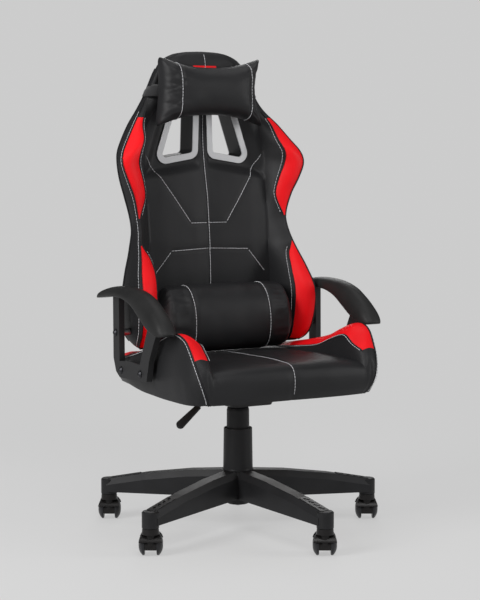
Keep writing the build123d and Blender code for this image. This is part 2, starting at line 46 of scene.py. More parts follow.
def hermite(a, b, before, after, t, span, span_before, span_after):
    """A smooth value between a and b at t, from the neighbours on each side."""
    slope_a = 0.5 * ((b - a) / span + (a - before) / span_before) if span_before else (b - a) / span
    slope_b = 0.5 * ((after - b) / span_after + (b - a) / span) if span_after else (b - a) / span
    t2, t3 = t * t, t * t * t
    return (
        (2 * t3 - 3 * t2 + 1) * a + (t3 - 2 * t2 + t) * slope_a * span
        + (3 * t2 - 2 * t3) * b + (t3 - t2) * slope_b * span
    )


def sample_rows(keys, rows, key):
    """Each value of the rows, smoothly interpolated at key. Keys rise; rows are flat lists of numbers."""
    last = len(keys) - 2
    i = 0
    while i < last and key > keys[i + 1]:
        i += 1
    span = keys[i + 1] - keys[i]
    t = (key - keys[i]) / span
    prev_i, next_i = max(i - 1, 0), min(i + 2, len(keys) - 1)
    before_span, after_span = keys[i] - keys[prev_i], keys[next_i] - keys[i + 1]
    return [
        hermite(a, b, before, after, t, span, before_span, after_span)
        for a, b, before, after in zip(rows[i], rows[i + 1], rows[prev_i], rows[next_i])
    ]


def smooth_path(points, count):
    """count + 1 points along a smooth curve through the points, evenly spread by length."""
    points = [Vector(p) for p in points]
    keys = [0.0]
    for a, b in zip(points, points[1:]):
        keys.append(keys[-1] + (b - a).length)
    rows = [list(p) for p in points]
    return [Vector(sample_rows(keys, rows, keys[-1] * i / count)) for i in range(count + 1)]


def smoothstep(low, high, value):
    t = min(max((value - low) / (high - low), 0.0), 1.0)
    return t * t * (3 - 2 * t)


def add_to_scene(name, data):
    obj = bpy.data.objects.new(name, data)
    bpy.context.scene.collection.objects.link(obj)
    return obj


def make_object(name, verts, faces, body, materials):
    """A mesh object that rides on a body and materials."""
    mesh = bpy.data.meshes.new(name)
    mesh.from_pydata([tuple(v) for v in verts], [], faces)
    mesh.validate()
    obj = add_to_scene(name, mesh)
    for material in materials:
        mesh.materials.append(material)
    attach(obj, body)
    return obj


def make_cover(name, verts, faces, reds, angle):
    """A black leather cover on the seat's body, with some of its faces red."""
    obj = make_object(name, verts, faces, "seat", [BLACK, RED])
    for polygon, red in zip(obj.data.polygons, reds):
        polygon.material_index = red
    smooth_shade(obj, angle)
    return obj


def smooth_shade(obj, angle):
    """Smooth faces, with edges sharper than angle kept crisp."""
    limit = math.radians(angle)
    bm = bmesh.new()
    bm.from_mesh(obj.data)
    bmesh.ops.recalc_face_normals(bm, faces=bm.faces)
    for face in bm.faces:
        face.smooth = True
    for edge in bm.edges:
        if len(edge.link_faces) == 2:
            edge.smooth = edge.calc_face_angle() < limit
    bm.to_mesh(obj.data)
    bm.free()


def add_subdivision(obj):
    modifier = obj.modifiers.new("subdivision", "SUBSURF")
    modifier.levels = 1
    modifier.render_levels = 1


def tube_mesh(path, radius, sides):
    """Vertices and faces of a round tube, closed at both ends, along a path of vectors."""
    verts, faces = [], []
    count = len(path)
    up = Vector((0.13, 0.2, 0.97)).normalized()      # off every axis, so few paths run along it
    for i, point in enumerate(path):
        along = (path[min(i + 1, count - 1)] - path[max(i - 1, 0)]).normalized()
        across = along.cross(up)
        if across.length < 0.05:
            across = along.cross(Vector((1, 0, 0)))
        across.normalize()
        second = along.cross(across)
        for k in range(sides):
            turn = 2 * math.pi * k / sides
            verts.append(point + radius * (math.cos(turn) * across + math.sin(turn) * second))
    for i in range(count - 1):
        for k in range(sides):
            m = (k + 1) % sides
            faces.append((i * sides + k, i * sides + m, (i + 1) * sides + m, (i + 1) * sides + k))
    faces.append(tuple(range(sides))[::-1])
    faces.append(tuple(range((count - 1) * sides, count * sides)))
    return verts, faces


def piping(name, points, radius, count):
    """Piping sewn into a seam of the seat or the back, along a smooth path."""
    verts, faces = tube_mesh(smooth_path(points, count), radius, 8)
    obj = make_object(name, verts, faces, "seat", [WELT])
    smooth_shade(obj, 50)


THREAD_RADIUS = 0.0007
STITCH, STITCH_GAP = 0.0058, 0.0016
SEAM_STEP = 0.002          # spacing of the points that a seam is followed by


def stitch_row(paths, name, body):
    """Rows of sewn stitches along smooth paths: one mesh of short threads."""
    verts, faces = [], []
    for points in paths:
        reach = sum((after - before).length for before, after in zip(points, points[1:]))
        dense = smooth_path(points, max(int(reach / SEAM_STEP), 4))
        total = len(dense) - 1
        start = 0.0
        while start + STITCH / SEAM_STEP <= total:
            samples = []
            for k in range(4):
                place = start + (STITCH / SEAM_STEP) * k / 3
                i = min(int(place), total - 1)
                samples.append(dense[i].lerp(dense[i + 1], place - i))
            base = len(verts)
            thread_verts, thread_faces = tube_mesh(samples, THREAD_RADIUS, 5)
            verts += thread_verts
            faces += [tuple(base + v for v in face) for face in thread_faces]
            start += (STITCH + STITCH_GAP) / SEAM_STEP
    obj = make_object(name, verts, faces, body, [THREAD])
    smooth_shade(obj, 80)


# ---- materials

def start_material(name):
    material = bpy.data.materials.new(name)
    material.use_nodes = True
    tree = material.node_tree
    shader = tree.nodes["Principled BSDF"]
    coords = tree.nodes.new("ShaderNodeTexCoord")
    return material, tree, shader, coords.outputs["Object"]


def noise_node(tree, coords, scale, detail=4.0, roughness=0.55):
    node = tree.nodes.new("ShaderNodeTexNoise")
    node.inputs["Scale"].default_value = scale
    node.inputs["Detail"].default_value = detail
    node.inputs["Roughness"].default_value = roughness
    tree.links.new(coords, node.inputs["Vector"])
    return node.outputs["Fac"]


def ramp(tree, value, stops):
    """A colour ramp with (place, colour) stops."""
    node = tree.nodes.new("ShaderNodeValToRGB")
    elements = node.color_ramp.elements
    elements[0].position, elements[0].color = stops[0][0], (*stops[0][1], 1)
    elements[1].position, elements[1].color = stops[-1][0], (*stops[-1][1], 1)
    for place, colour in stops[1:-1]:
        elements.new(place).color = (*colour, 1)
    tree.links.new(value, node.inputs["Fac"])
    return node.outputs["Color"]


def remap(tree, value, low, high):
    """value from 0..1 to low..high."""
    node = tree.nodes.new("ShaderNodeMapRange")
    node.inputs["To Min"].default_value = low
    node.inputs["To Max"].default_value = high
    tree.links.new(value, node.inputs["Value"])
    return node.outputs["Result"]


def add_scaled(tree, a, b, weight):
    """a + b * weight."""
    scaled = tree.nodes.new("ShaderNodeMath")
    scaled.operation = "MULTIPLY"
    scaled.inputs[1].default_value = weight
    tree.links.new(b, scaled.inputs[0])
    total = tree.nodes.new("ShaderNodeMath")
    total.operation = "ADD"
    tree.links.new(a, total.inputs[0])
    tree.links.new(scaled.outputs[0], total.inputs[1])
    return total.outputs[0]


def bump(tree, shader, height, strength, distance):
    node = tree.nodes.new("ShaderNodeBump")
    node.inputs["Strength"].default_value = strength
    node.inputs["Distance"].default_value = distance
    tree.links.new(height, node.inputs["Height"])
    tree.links.new(node.outputs["Normal"], shader.inputs["Normal"])


def shade(colour, factor):
    return tuple(c * factor for c in colour)


# Texture scales are repeats per metre; bump depths are metres.
PEBBLES, PEBBLE_WARP, PORES = 620, 260, 2400
WARP_REACH = 0.0016


def leather(name, colour, rough, specular):
    """Grained polyurethane leather: pebbled cells, fine pores, slow colour and gloss variation."""
    material, tree, shader, coords = start_material(name)
    cells = tree.nodes.new("ShaderNodeTexVoronoi")
    cells.feature = "DISTANCE_TO_EDGE"
    cells.inputs["Scale"].default_value = PEBBLES
    warp = tree.nodes.new("ShaderNodeTexNoise")
    warp.inputs["Scale"].default_value = PEBBLE_WARP
    tree.links.new(coords, warp.inputs["Vector"])
    mix = tree.nodes.new("ShaderNodeVectorMath")
    mix.operation = "MULTIPLY_ADD"
    mix.inputs[1].default_value = (WARP_REACH, WARP_REACH, WARP_REACH)
    tree.links.new(warp.outputs["Color"], mix.inputs[0])
    tree.links.new(coords, mix.inputs[2])
    tree.links.new(mix.outputs[0], cells.inputs["Vector"])
    pebble = remap(tree, cells.outputs["Distance"], 0.0, 3.2)
    pores = noise_node(tree, coords, PORES, 2)
    slow = noise_node(tree, coords, 7, 3)
    height = add_scaled(tree, pebble, pores, 0.25)
    bump(tree, shader, height, 0.30, 0.00022)
    tint = ramp(tree, slow, ((0.30, shade(colour, 0.86)), (0.70, shade(colour, 1.14))))
    tree.links.new(tint, shader.inputs["Base Color"])
    gloss = add_scaled(tree, slow, pores, 0.35)
    tree.links.new(remap(tree, gloss, rough - 0.10, rough + 0.12), shader.inputs["Roughness"])
    shader.inputs["Specular IOR Level"].default_value = specular
    return material


def plastic(name, colour, rough, grain, depth=0.00008):
    """Moulded plastic with a spark-eroded grain, faint flow marks and slight wear in its gloss."""
    material, tree, shader, coords = start_material(name)
    fine = noise_node(tree, coords, grain, 2)
    slow = noise_node(tree, coords, 22, 4)
    tint = ramp(tree, slow, ((0.30, shade(colour, 0.85)), (0.72, shade(colour, 1.18))))
    tree.links.new(tint, shader.inputs["Base Color"])
    tree.links.new(remap(tree, slow, rough - 0.07, rough + 0.09), shader.inputs["Roughness"])
    shader.inputs["Specular IOR Level"].default_value = 0.22
    bump(tree, shader, fine, 0.35, depth)
    return material


def metal(name, colour, rough, stretch, grain, strength=0.2):
    """Metal with a drawn or brushed grain along one axis."""
    material, tree, shader, coords = start_material(name)
    mapping = tree.nodes.new("ShaderNodeMapping")
    mapping.inputs["Scale"].default_value = stretch
    tree.links.new(coords, mapping.inputs["Vector"])
    lines = noise_node(tree, mapping.outputs["Vector"], grain, 5, 0.7)
    tint = ramp(tree, lines, ((0.25, shade(colour, 0.80)), (0.75, shade(colour, 1.10))))
    tree.links.new(tint, shader.inputs["Base Color"])
    tree.links.new(remap(tree, lines, rough - 0.05, rough + 0.10), shader.inputs["Roughness"])
    shader.inputs["Metallic"].default_value = 1.0
    bump(tree, shader, lines, strength, 0.00006)
    return material


def wood(name, colour):
    """Birch plywood: plies seen edge on along Z, long grain along Y."""
    material, tree, shader, coords = start_material(name)
    mapping = tree.nodes.new("ShaderNodeMapping")
    mapping.inputs["Scale"].default_value = (14, 1.2, 160)
    tree.links.new(coords, mapping.inputs["Vector"])
    grain = noise_node(tree, mapping.outputs["Vector"], 5, 6, 0.65)
    tint = ramp(tree, grain, ((0.25, shade(colour, 0.62)), (0.55, colour), (0.8, shade(colour, 1.25))))
    tree.links.new(tint, shader.inputs["Base Color"])
    shader.inputs["Roughness"].default_value = 0.62
    bump(tree, shader, grain, 0.25, 0.0003)
    return material


def woven(name, colour, pitch=1600):
    """Woven elastic or thread: crossed fine ribs, with painted shade darkening the grooves between them."""
    material, tree, shader, coords = start_material(name)
    ribs = []
    for direction in ("X", "Z"):
        wave = tree.nodes.new("ShaderNodeTexWave")
        wave.bands_direction = direction
        wave.inputs["Scale"].default_value = pitch / 6
        wave.inputs["Distortion"].default_value = 0.6
        tree.links.new(coords, wave.inputs["Vector"])
        ribs.append(wave.outputs["Fac"])
    height = add_scaled(tree, ribs[0], ribs[1], 1.0)
    # Painted shade: the colour follows the rib height, darker in the grooves.
    tint = ramp(tree, height, ((0.2, shade(colour, 0.65)), (0.9, shade(colour, 1.15))))
    tree.links.new(tint, shader.inputs["Base Color"])
    shader.inputs["Roughness"].default_value = 0.85
    shader.inputs["Sheen Weight"].default_value = 0.25
    bump(tree, shader, height, 0.4, 0.0002)
    return material


BLACK = leather("leather_black", (0.014, 0.014, 0.015), 0.42, 0.21)
RED = leather("leather_red", (0.76, 0.005, 0.009), 0.42, 0.18)
WELT = leather("leather_welt", (0.010, 0.010, 0.011), 0.45, 0.20)
NYLON = plastic("nylon_black", (0.013, 0.013, 0.014), 0.44, 900, 0.0001)
COVER = plastic("cover_black", (0.012, 0.012, 0.013), 0.44, 1300)
HOOD = plastic("caster_black", (0.010, 0.009, 0.009), 0.34, 1500, 0.00005)
WHEEL = plastic("wheel_black", (0.020, 0.020, 0.022), 0.36, 1300)
GLOSS = plastic("trim_gloss_black", (0.010, 0.010, 0.011), 0.34, 600, 0.00004)
ARM = plastic("arm_plastic", (0.018, 0.018, 0.019), 0.50, 800, 0.00012)
SOFT = plastic("arm_soft", (0.014, 0.014, 0.014), 0.50, 1100, 0.00012)
RUBBER = plastic("rubber_black", (0.02, 0.02, 0.02), 0.75, 700)
BOLT = metal("bolt_black", (0.05, 0.05, 0.055), 0.42, (1, 1, 1), 900)
POWDER = plastic("steel_black", (0.02, 0.02, 0.021), 0.40, 2000, 0.0001)
ZINC = metal("steel_bright", (0.58, 0.58, 0.60), 0.30, (1, 1, 8), 300)
CHROME = metal("chrome", (0.78, 0.79, 0.81), 0.09, (1, 1, 14), 200, 0.05)
BEZEL = metal("bezel_silver", (0.50, 0.50, 0.51), 0.40, (1, 1, 9), 420, 0.35)
PLY = wood("plywood", (0.42, 0.27, 0.14))
ELASTIC = woven("elastic_black", (0.008, 0.008, 0.009))
THREAD = woven("stitch_grey", (0.50, 0.50, 0.52), 2400)

NODE_MATERIALS = {
    "star_base": NYLON, "leg_grip_inserts": GLOSS, "lift_outer_tube": POWDER, "lift_guide_bush": COVER,
    "lift_thrust_bearing": ZINC, "lift_rubber_buffer": RUBBER, "lift_piston_rod": ZINC, "lift_rod_clip": ZINC,
    "lift_inner_cylinder": CHROME, "lift_valve_pin": ZINC, "cover_lower": COVER, "cover_middle": COVER,
    "cover_upper": COVER, "seat_plate": POWDER, "seat_plate_bolts": ZINC, "seat_board_nuts": ZINC,
    "seat_board": PLY, "back_frame": POWDER, "harness_sleeves": COVER, "harness_bezels_front": BEZEL,
    "harness_bezels_rear": BEZEL, "arm_bolts": BOLT, "arm_spacers": ZINC, "arm_nuts": ZINC,
    "lever_rod": POWDER, "lever_handle": COVER,
}
for hand in ("left", "right"):
    NODE_MATERIALS[f"seat_side_rail_{hand}"] = POWDER
    NODE_MATERIALS[f"arm_frame_{hand}"] = ARM
for index in CASTERS:
    NODE_MATERIALS[f"caster_hood_{index}"] = HOOD
    NODE_MATERIALS[f"caster_stem_axle_{index}"] = ZINC
    NODE_MATERIALS[f"caster_wheels_{index}"] = WHEEL

# Edge rounding of the CAD pieces, in metres.
EDGE_ROUNDING = {
    "star_base": 0.0016, "arm_frame_left": 0.003, "arm_frame_right": 0.003, "lever_handle": 0.0012,
    "harness_bezels_front": 0.0014, "harness_bezels_rear": 0.0014, "seat_plate": 0.0012,
    **{f"caster_hood_{i}": 0.0012 for i in CASTERS}, **{f"caster_wheels_{i}": 0.0006 for i in CASTERS},
}


def dress_cad_nodes():
    for name, material in NODE_MATERIALS.items():
        obj = nodes[name]
        for material_slot in obj.material_slots:
            material_slot.material = material
    for name, width in EDGE_ROUNDING.items():
        modifier = nodes[name].modifiers.new("edges", "BEVEL")
        modifier.width = width
        modifier.segments = 2
        modifier.limit_method = "ANGLE"
        modifier.angle_limit = math.radians(35)
        modifier.harden_normals = True


# ---- back upholstery

# Rows of the back by height: centre depth, then (half width, depth) of the panel seam, the red
# insert's inner seam, the front edge, the side's rear edge and the rear shoulder, then the rear depth.
BACK_ROWS = (
    (436, 134, 150, 132, 184, 92, 214, 88, 224, 118, 164, 186, 192),
    (446, 132, 158, 129, 186, 80, 222, 78, 233, 124, 168, 194, 200),
    (489, 137, 163, 134, 187, 60, 230, 44, 241, 131, 170, 205, 212),
    (568, 143, 165, 140, 187, 52, 233, 34, 241, 129, 170, 209, 218),
    (619, 144, 165, 141, 185, 68, 224, 60, 231, 134, 168, 209, 220),
    (655, 146, 164, 143, 190, 88, 214, 82, 222, 136, 166, 209, 221),
    (681, 147, 163, 144, 203, 99, 208, 99, 216, 139, 165, 209, 222),
    (712, 150, 163, 147, 198, 113, 202, 114, 208, 147, 162, 210, 223),
    (742, 153, 163, 150, 196, 124, 201, 124, 207, 157, 160, 211, 225),
    (797, 160, 164, 157, 178, 134, 214, 120, 225, 150, 165, 213, 230),
    (838, 169, 164, 164, 186, 130, 233, 114, 240, 143, 172, 214, 235),
    (876, 177, 164, 170, 198, 124, 246, 114, 249, 136, 180, 216, 240),
    (900, 181, 162, 172, 196, 118, 241, 121, 244, 146, 180, 219, 242),
    (930, 184, 159, 174, 182, 128, 221, 138, 225, 164, 172, 224, 244),
    (968, 185, 150, 176, 174, 153, 194, 158, 198, 182, 150, 229, 245),
    (1000, 184, 130, 178, 157, 172, 168, 179, 170, 198, 130, 229, 242),
    (1030, 180, 110, 178, 143, 183, 150, 188, 151, 201, 120, 227, 236),
    (1065, 175, 92, 175, 123, 182, 134, 187, 135, 201, 107, 225, 232),
    (1098, 171, 75, 174, 105, 181, 118, 187, 119, 201, 95, 222, 228),
    (1120, 173, 62, 176, 90, 183, 102, 188, 103, 200, 84, 217, 222),
    (1133, 178, 45, 180, 70, 185, 80, 190, 81, 199, 66, 211, 214),
    (1139, 182, 32, 184, 50, 188, 60, 191, 61, 198, 46, 207, 209),
    (1142.3, 187, 18, 188, 28, 190, 34, 193, 35, 198, 26, 203, 205),
    (1143.4, 191, 6, 191, 10, 193, 12, 195, 13, 198, 9, 201, 202),
)
BACK_KEYS = [row[0] for row in BACK_ROWS]
BACK_VALUES = [row[1:] for row in BACK_ROWS]
CENTRE_STEPS, INNER_STEPS, INSERT_STEPS, SIDE_STEPS = 26, 9, 9, 8      # mesh columns of each stretch
SEAM_COLUMN = CENTRE_STEPS + INNER_STEPS
EDGE_COLUMN = SEAM_COLUMN + INSERT_STEPS
REAR_COLUMN = EDGE_COLUMN + SIDE_STEPS

# Heights between which the inserts and the head's patch are red.
RED_UPPER = (743, 985)
RED_LOWER = (448, 681)
PATCH, PATCH_HALF = (1034, 1107), 33

# Mesh rows: even ones up to EVEN_TOP, then closer ones over the top of the head.
BACK_FOOT, EVEN_TOP, EVEN_ROWS = 436, 1120, 120
HEAD_TOP = (1124, 1128, 1131, 1134, 1136.5, 1138.5, 1140, 1141.2, 1142.2, 1142.9, 1143.4)

# The right-hand harness opening's corners as (x, z), and the depths at which leather meets its bezels.
SLOT = ((28, 899), (113, 885), (77, 994), (25, 998))
SLOT_CORNER, CORNER_STEPS, SLOT_MARGIN = 10, 6, 2.2
CUT_FROM, CUT_TO = 0.11, 0.29          # depths in metres, in front of the back and behind it
BEZEL_FRONT, BEZEL_REAR = 184.4, 245.7


def slot_distance(x, z):
    """How far (x, z) lies outside a harness opening, in millimetres."""
    x = abs(x)
    worst = -1e9
    for (ax, az), (bx, bz) in zip(SLOT, SLOT[1:] + SLOT[:1]):
        dx, dz = bx - ax, bz - az
        length = math.hypot(dx, dz)
        worst = max(worst, ((x - ax) * dz - (z - az) * dx) / length)
    return worst


def back_columns(z):
    """Half the back's outline at height z: (x, y, zone) from the front's centre to the rear's."""
    v = sample_rows(BACK_KEYS, BACK_VALUES, z)
    centre, panel, seam = (0, v[0]), (v[1], v[2]), (v[3], v[4])
    edge, rear_edge, shoulder, rear = (v[5], v[6]), (v[7], v[8]), (v[9], v[10]), (0, v[11])
    stretches = (
        (centre, panel, CENTRE_STEPS, 0.012, "centre"),
        (panel, seam, INNER_STEPS, 0.05, "inner"),
        (seam, edge, INSERT_STEPS, 0.15, "insert"),
        (edge, rear_edge, SIDE_STEPS, 0.06, "side"),
        (rear_edge, shoulder, 10, 0.07, "rear"),
        (shoulder, rear, 18, 0.02, "rear"),
    )
    columns = []
    for (ax, ay), (bx, by), steps, bulge, zone in stretches:
        length = math.hypot(bx - ax, by - ay)
        nx, ny = (by - ay) / max(length, 1e-6), -(bx - ax) / max(length, 1e-6)
        for k in range(steps):
            t = k / steps
            swell = bulge * length * 4 * t * (1 - t)
            columns.append([ax + (bx - ax) * t + nx * swell, ay + (by - ay) * t + ny * swell, zone])
    columns.append([rear[0], rear[1], "rear"])
    return columns


# Sewn lines on the centre panel, as (x, z) in millimetres; they are mirrored.
VEE_LINE = ((161, 897), (48, 729), (0, 729))
YOKE_LINE = ((150, 608), (104, 663), (0, 667))


def line_distance(x, z, line):
    best = 1e9
    for (ax, az), (bx, bz) in zip(line, line[1:]):
        dx, dz = bx - ax, bz - az
        t = min(max(((x - ax) * dx + (z - az) * dz) / (dx * dx + dz * dz), 0), 1)
        best = min(best, math.hypot(x - ax - t * dx, z - az - t * dz))
    return best


def settle(x, y, z, zone):
    """The final depth of a back point: seam grooves, puckers and the flats round the bezels."""
    ax = abs(x)
    if zone == "centre":
        if z < 1000:
            y += 3.0 * math.exp(-(ax / 3.2) ** 2)
            y -= 2.0 * smoothstep(4, 40, ax) * (1 - smoothstep(110, 158, ax))
        dent = min(line_distance(ax, z, VEE_LINE), line_distance(ax, z, YOKE_LINE))
        y += 1.6 * math.exp(-(dent / 4.0) ** 2)
        y += 0.5 * noise.noise(Vector((x * 0.03, z * 0.012, 1.7)))
        near = 1 - smoothstep(18, 44, slot_distance(x, z))
        near *= smoothstep(9, 15, ax)
        y += (BEZEL_FRONT - y) * near
    if zone == "rear":
        near = 1 - smoothstep(18, 50, slot_distance(x, z))
        y += (BEZEL_REAR - y) * near
        y += 0.8 * noise.noise(Vector((x * 0.02, z * 0.02, 7.1)))
    return y


def lean(y, z):
    """The back's lower edge rises towards the rear, so low points lift with their depth."""
    weight = 1 - smoothstep(440, 540, z)
    return z + weight * (0.42 * (y - 90) + 2)


def back_mesh():
    """Vertices, faces, and for each face whether it is red."""
    heights = [BACK_FOOT + (EVEN_TOP - BACK_FOOT) * i / EVEN_ROWS for i in range(EVEN_ROWS + 1)] + list(HEAD_TOP)
    rows = []
    for z in heights:
        half = back_columns(z)
        right = [(x, settle(x, y, z, zone), zone) for x, y, zone in half]
        left = [(-x, y, zone) for x, y, zone in right[-2:0:-1]]
        rows.append((z, right + left))
    verts, faces, reds = [], [], []
    width = len(rows[0][1])
    for z, ring in rows:
        for x, y, zone in ring:
            verts.append(Vector((x, y, lean(y, z))) * MM)
    for j in range(len(rows) - 1):
        z_mid = (heights[j] + heights[j + 1]) / 2
        in_red = RED_UPPER[0] < z_mid < RED_UPPER[1] or RED_LOWER[0] < z_mid < RED_LOWER[1]
        for k in range(width):
            m = (k + 1) % width
            faces.append((j * width + k, j * width + m, (j + 1) * width + m, (j + 1) * width + k))
            zone = rows[j][1][k][2] if k < width / 2 else rows[j][1][m][2]
            patch = zone == "centre" and PATCH[0] < z_mid < PATCH[1] and abs(rows[j][1][k][0]) < PATCH_HALF
            reds.append(1 if (zone == "insert" and in_red) or patch else 0)
    for row, flip in ((0, True), (len(rows) - 1, False)):
        ring = [row * width + k for k in range(width)]
        half = width // 2
        for k in range(half):
            a, b = ring[k], ring[k + 1]
            c, d = ring[(width - k - 1) % width], ring[(width - k) % width]
            face = list(dict.fromkeys((a, b, c, d)))
            if len(face) > 2:
                faces.append(tuple(face[::-1] if flip else face))
                reds.append(0)
    return verts, faces, reds


def slot_outline():
    """The opening's outline with rounded corners, grown by the margin."""
    middle = Vector((sum(p[0] for p in SLOT) / 4, sum(p[1] for p in SLOT) / 4))
    outline = []
    for i, corner in enumerate(SLOT):
        before, after = SLOT[i - 1], SLOT[(i + 1) % len(SLOT)]
        tip = Vector(corner)
        start = tip.lerp(Vector(before), SLOT_CORNER / math.dist(corner, before))
        end = tip.lerp(Vector(after), SLOT_CORNER / math.dist(corner, after))
        for k in range(CORNER_STEPS + 1):
            t = k / CORNER_STEPS
            p = start.lerp(tip, t).lerp(tip.lerp(end, t), t)
            outline.append(p + (p - middle).normalized() * SLOT_MARGIN)
    return outline


def cut_openings(obj):
    """Cuts both harness openings through an upholstery mesh."""
    corners = slot_outline()
    for side in (1, -1):
        bm = bmesh.new()
        front = [bm.verts.new((side * p.x * MM, CUT_FROM, p.y * MM)) for p in corners]
        rear = [bm.verts.new((side * p.x * MM, CUT_TO, p.y * MM)) for p in corners]
        bm.faces.new(front)
        bm.faces.new(rear[::-1])
        for i in range(len(corners)):
            j = (i + 1) % len(corners)
            bm.faces.new((front[i], rear[i], rear[j], front[j]))
        bmesh.ops.recalc_face_normals(bm, faces=bm.faces)
        mesh = bpy.data.meshes.new("opening")
        bm.to_mesh(mesh)
        bm.free()
        cutter = add_to_scene("opening", mesh)
        modifier = obj.modifiers.new("opening", "BOOLEAN")
        modifier.operation = "DIFFERENCE"
        modifier.solver = "EXACT"
        modifier.object = cutter
        apply_modifiers(obj)
        bpy.data.objects.remove(cutter)


def apply_modifiers(obj):
    """Bakes the object's modifiers into its mesh."""
    depsgraph = bpy.context.evaluated_depsgraph_get()
    mesh = bpy.data.meshes.new_from_object(obj.evaluated_get(depsgraph))
    obj.modifiers.clear()
    obj.data = mesh


def build_back():
    obj = make_cover("back_upholstery", *back_mesh(), 70)
    cut_openings(obj)
    smooth_shade(obj, 60)
    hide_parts("back_centre_pad", "back_head_pad", "back_wing_left", "back_wing_right", "back_rear_cover")
    back_trim()


def back_front(x, z, out=0.6):
    """A point on the front of the centre panel, in metres."""
    half = back_columns(z)
    ax = abs(x)
    for a, b in zip(half, half[1:]):
        if a[0] <= ax <= b[0] and a[2] == "centre":
            t = (ax - a[0]) / max(b[0] - a[0], 1e-6)
            y = a[1] + (b[1] - a[1]) * t
            break
    else:
        y = half[CENTRE_STEPS][1]
    y = settle(ax, y, z, "centre") - out
    return Vector((x, y, lean(y, z))) * MM


def seam_points(column, low, high, side, shift=0, out=0.0):
    """Points along one column of the back mesh, moved by whole columns and outwards by out."""
    points = []
    steps = max(int((high - low) / 12), 3)
    for i in range(steps + 1):
        z = low + (high - low) * i / steps
        half = back_columns(z)
        x, y = half[column + shift][:2]
        before, after = half[column + shift - 1], half[column + shift + 1]
        tx, ty = after[0] - before[0], after[1] - before[1]
        length = math.hypot(tx, ty)
        nx, ny = ty / max(length, 1e-6), -tx / max(length, 1e-6)
        px, py = x + nx * out, y + ny * out
        points.append(Vector((side * px, py, lean(py, z))) * MM)
    return points


def back_trim():
    """The back's piping, its top stitching and the sewn lines of its centre panel."""
    stitches = []
    for side, hand in ((1, "left"), (-1, "right")):
        for name, column, low, high in (
            ("upper_inner", SEAM_COLUMN, 744, 998), ("lower_inner", SEAM_COLUMN, 442, 680),
            ("front_edge", EDGE_COLUMN, 438, 1040), ("rear_edge", REAR_COLUMN, 440, 1100),
        ):
            piping(f"back_piping_{name}_{hand}", seam_points(column, low, high, side, 0, 0.5), 0.0017, 130)
        stitches.append(seam_points(SEAM_COLUMN, 752, 985, side, -1, 1.0))
        stitches.append(seam_points(SEAM_COLUMN, 446, 672, side, -1, 1.0))
        stitches.append(seam_points(EDGE_COLUMN, 444, 1000, side, 1, 0.8))
        for line in (VEE_LINE, YOKE_LINE):
            for (ax, az), (bx, bz) in zip(line, line[1:]):
                stitches.append([
                    back_front(side * (ax + (bx - ax) * t / 12), az + (bz - az) * t / 12) for t in range(13)
                ])
    centre = list(range(450, 1110, 15)) + list(range(1110, 1142, 3))
    stitches.append([back_front(2.4, z, 0.5) for z in centre])
    stitch_row(stitches, "back_stitching", "seat")


# ---- seat upholstery

# Lengthwise curves of the seat from its rear bottom edge, over the top, to its front bottom edge,
# as (x, y, z): cushion centre, cushion edge, red insert's inner seam, outer piping, side, lower edge.
SEAT_CENTRE = (
    (0, 193, 352), (0, 199, 384), (0, 192, 412), (0, 110, 421), (0, 30, 426), (0, -45, 429), (0, -105, 431),
    (0, -150, 432), (0, -180, 432), (0, -210, 431), (0, -238, 428), (0, -257, 419), (0, -266, 402),
    (0, -268, 383), (0, -265, 364), (0, -256, 347),
)
SEAT_EDGE = (
    (165, 191, 353), (165, 197, 384), (165, 188, 410), (165, 110, 417), (166, 30, 421), (170, -45, 424),
    (176, -105, 426), (181, -150, 426), (185, -180, 425), (189, -208, 423), (193, -236, 419), (196, -250, 410),
    (198, -256, 398), (198, -258, 382), (196, -255, 364), (190, -247, 347),
)
SEAT_INNER = (
    (178, 190, 355), (180, 196, 386), (176, 187, 412), (174, 108, 420), (178, 22, 430), (186, -55, 441),
    (189, -107, 459), (190, -150, 473), (191, -176, 475), (193, -202, 459), (200, -232, 445), (208, -248, 430),
    (211, -255, 408), (210, -257, 386), (205, -253, 365), (197, -243, 347),
)
SEAT_PIPING = (
    (214, 188, 362), (222, 190, 388), (228, 184, 409), (240, 105, 421), (246, 22, 440), (246, -50, 462),
    (246, -100, 483), (244, -146, 498), (242, -175, 498), (239, -205, 484), (235, -232, 446), (231, -245, 420),
    (227, -251, 402), (221, -254, 383), (213, -249, 366), (203, -239, 347),
)
SEAT_SIDE = (
    (228, 182, 368), (234, 183, 382), (240, 176, 394), (250, 104, 390), (252, 24, 394), (252, -45, 400),
    (252, -95, 408), (252, -138, 414), (252, -168, 414), (250, -192, 408), (247, -212, 396), (242, -226, 388),
    (237, -233, 380), (231, -237, 370), (224, -238, 360), (216, -234, 348),
)
SEAT_LOWER = (
    (226, 174, 366), (229, 176, 366), (232, 170, 366), (240, 104, 357), (243, 24, 349), (244, -45, 347),
    (244, -95, 346), (243, -138, 346), (242, -168, 346), (240, -190, 346), (237, -205, 346), (233, -215, 346),
    (229, -221, 346), (225, -225, 346), (221, -228, 346), (215, -230, 347),
)
SEAT_RED_ROWS = (2.0, 10.0)
SEAT_STEP = 6              # mesh rows between two given points
CUSHION_STEPS = 22         # mesh columns of half the cushion
HUB_FRONT, HUB_HEIGHT = -215, 392      # the seat's bulges point away from a line at this height

# The plywood board that the cover is turned under and stapled to.
BOARD_HALF, BOARD_FRONT, BOARD_REAR, ABOVE_BOARD = 207.5, -236.5, 191.5, 358.7
HEM, HEM_TOP = 9, 352


def seat_curve(curve, place):
    """A point on a lengthwise curve at a row number, which may lie between rows."""
    return Vector(sample_rows(list(range(len(curve))), curve, place))


